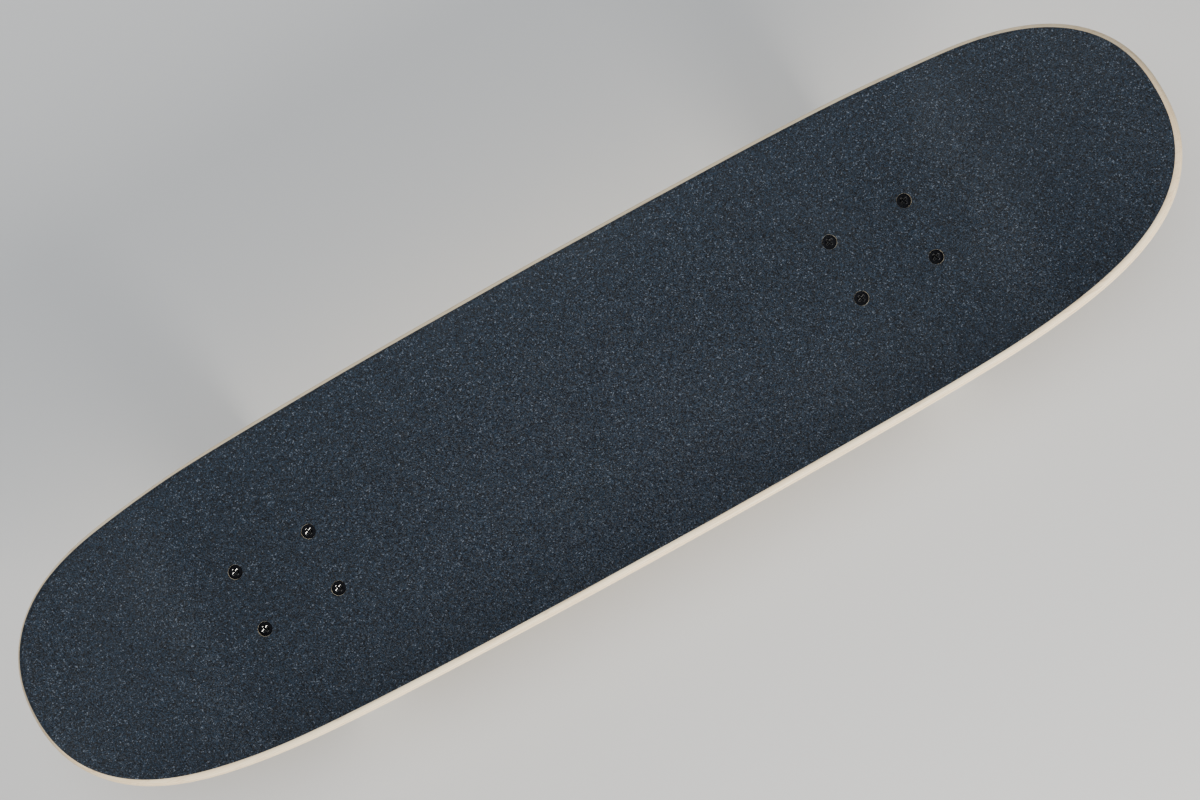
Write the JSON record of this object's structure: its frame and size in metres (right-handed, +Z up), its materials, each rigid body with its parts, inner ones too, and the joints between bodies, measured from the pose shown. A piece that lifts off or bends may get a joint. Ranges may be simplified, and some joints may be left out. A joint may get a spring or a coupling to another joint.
{
  "type": "skateboard",
  "caption": "Popsicle-shaped street skateboard with gritted top sheet, kicked nose and tail, two steering trucks and urethane wheels on ball bearings.",
  "frame": {"origin": "on the floor, under the middle of the board's length and width", "axes": "+X to the nose, +Y to the left rail, +Z up"},
  "size_m": [0.8001, 0.2054, 0.137],
  "materials": {
    "maple": "satin",
    "grip_sheet": "abrasive",
    "cast_aluminium": "tumbled",
    "black_urethane": "matte",
    "bushing_urethane": "satin",
    "wheel_urethane": "satin",
    "zinc_steel": "zinc plated",
    "black_steel": "black oxide",
    "bearing_steel": "polished",
    "cage_nylon": "natural",
    "seal_rubber": "matte"
  },
  "bodies": {
    "board": {"deck": "maple", "grip_tape": "grip_sheet", "front_baseplate": "cast_aluminium", "front_pivot_cup": "black_urethane", "front_kingpin": "zinc_steel", "front_kingpin_nut": "zinc_steel", "front_boardside_cup_washer": "zinc_steel", "front_roadside_cup_washer": "zinc_steel", "front_boardside_bushing": "bushing_urethane", "front_roadside_bushing": "bushing_urethane", "front_mounting_bolts": "black_steel", "front_mounting_nuts": "black_steel", "rear_baseplate": "cast_aluminium", "rear_pivot_cup": "black_urethane", "rear_kingpin": "zinc_steel", "rear_kingpin_nut": "zinc_steel", "rear_boardside_cup_washer": "zinc_steel", "rear_roadside_cup_washer": "zinc_steel", "rear_boardside_bushing": "bushing_urethane", "rear_roadside_bushing": "bushing_urethane", "rear_mounting_bolts": "black_steel", "rear_mounting_nuts": "black_steel"},
    "front_hanger_unit": {"front_hanger": "cast_aluminium", "front_axle": "zinc_steel", "front_speed_washers": "zinc_steel", "front_axle_nuts": "zinc_steel", "front_left_inner_races": "bearing_steel", "front_left_bearing_spacer": "zinc_steel", "front_right_inner_races": "bearing_steel", "front_right_bearing_spacer": "zinc_steel"},
    "front_left_wheel_unit": {"front_left_wheel": "wheel_urethane", "front_left_outer_races": "bearing_steel", "front_left_bearing_shields": "seal_rubber"},
    "front_left_ball_set": {"front_left_balls": "bearing_steel", "front_left_ball_cages": "cage_nylon"},
    "front_right_wheel_unit": {"front_right_wheel": "wheel_urethane", "front_right_outer_races": "bearing_steel", "front_right_bearing_shields": "seal_rubber"},
    "front_right_ball_set": {"front_right_balls": "bearing_steel", "front_right_ball_cages": "cage_nylon"},
    "rear_hanger_unit": {"rear_hanger": "cast_aluminium", "rear_axle": "zinc_steel", "rear_speed_washers": "zinc_steel", "rear_axle_nuts": "zinc_steel", "rear_left_inner_races": "bearing_steel", "rear_left_bearing_spacer": "zinc_steel", "rear_right_inner_races": "bearing_steel", "rear_right_bearing_spacer": "zinc_steel"},
    "rear_left_wheel_unit": {"rear_left_wheel": "wheel_urethane", "rear_left_outer_races": "bearing_steel", "rear_left_bearing_shields": "seal_rubber"},
    "rear_left_ball_set": {"rear_left_balls": "bearing_steel", "rear_left_ball_cages": "cage_nylon"},
    "rear_right_wheel_unit": {"rear_right_wheel": "wheel_urethane", "rear_right_outer_races": "bearing_steel", "rear_right_bearing_shields": "seal_rubber"},
    "rear_right_ball_set": {"rear_right_balls": "bearing_steel", "rear_right_ball_cages": "cage_nylon"}
  },
  "joints": [
    {"name": "front_steer", "type": "hinge", "parent": "board", "child": "front_hanger_unit", "pos_m": [0.23849, 0, 0.0645], "axis": [0.9285, 0, 0.3714], "range_deg": [-15, 15], "stiffness_Nm_per_rad": 80, "deforming": ["front_boardside_bushing", "front_roadside_bushing"]},
    {"name": "front_left_wheel_spin", "type": "hinge", "parent": "front_hanger_unit", "child": "front_left_wheel_unit", "pos_m": [0.21349, 0.0773, 0.026], "axis": [0, 1, 0], "continuous": true},
    {"name": "front_left_ball_spin", "type": "hinge", "parent": "front_hanger_unit", "child": "front_left_ball_set", "pos_m": [0.21349, 0.0773, 0.026], "axis": [0, 1, 0], "continuous": true},
    {"name": "front_right_wheel_spin", "type": "hinge", "parent": "front_hanger_unit", "child": "front_right_wheel_unit", "pos_m": [0.21349, -0.0773, 0.026], "axis": [0, 1, 0], "continuous": true},
    {"name": "front_right_ball_spin", "type": "hinge", "parent": "front_hanger_unit", "child": "front_right_ball_set", "pos_m": [0.21349, -0.0773, 0.026], "axis": [0, 1, 0], "continuous": true},
    {"name": "rear_steer", "type": "hinge", "parent": "board", "child": "rear_hanger_unit", "pos_m": [-0.25449, 0, 0.0645], "axis": [-0.9285, 0, 0.3714], "range_deg": [-15, 15], "stiffness_Nm_per_rad": 80, "deforming": ["rear_boardside_bushing", "rear_roadside_bushing"]},
    {"name": "rear_left_wheel_spin", "type": "hinge", "parent": "rear_hanger_unit", "child": "rear_left_wheel_unit", "pos_m": [-0.22949, 0.0773, 0.026], "axis": [0, 1, 0], "continuous": true},
    {"name": "rear_left_ball_spin", "type": "hinge", "parent": "rear_hanger_unit", "child": "rear_left_ball_set", "pos_m": [-0.22949, 0.0773, 0.026], "axis": [0, 1, 0], "continuous": true},
    {"name": "rear_right_wheel_spin", "type": "hinge", "parent": "rear_hanger_unit", "child": "rear_right_wheel_unit", "pos_m": [-0.22949, -0.0773, 0.026], "axis": [0, 1, 0], "continuous": true},
    {"name": "rear_right_ball_spin", "type": "hinge", "parent": "rear_hanger_unit", "child": "rear_right_ball_set", "pos_m": [-0.22949, -0.0773, 0.026], "axis": [0, 1, 0], "continuous": true}
  ],
  "couplings": [
    {"joint": "front_left_ball_spin", "follows": "front_left_wheel_spin", "ratio": 0.6323},
    {"joint": "front_right_ball_spin", "follows": "front_right_wheel_spin", "ratio": 0.6323},
    {"joint": "rear_left_ball_spin", "follows": "rear_left_wheel_spin", "ratio": 0.6323},
    {"joint": "rear_right_ball_spin", "follows": "rear_right_wheel_spin", "ratio": 0.6323}
  ]
}
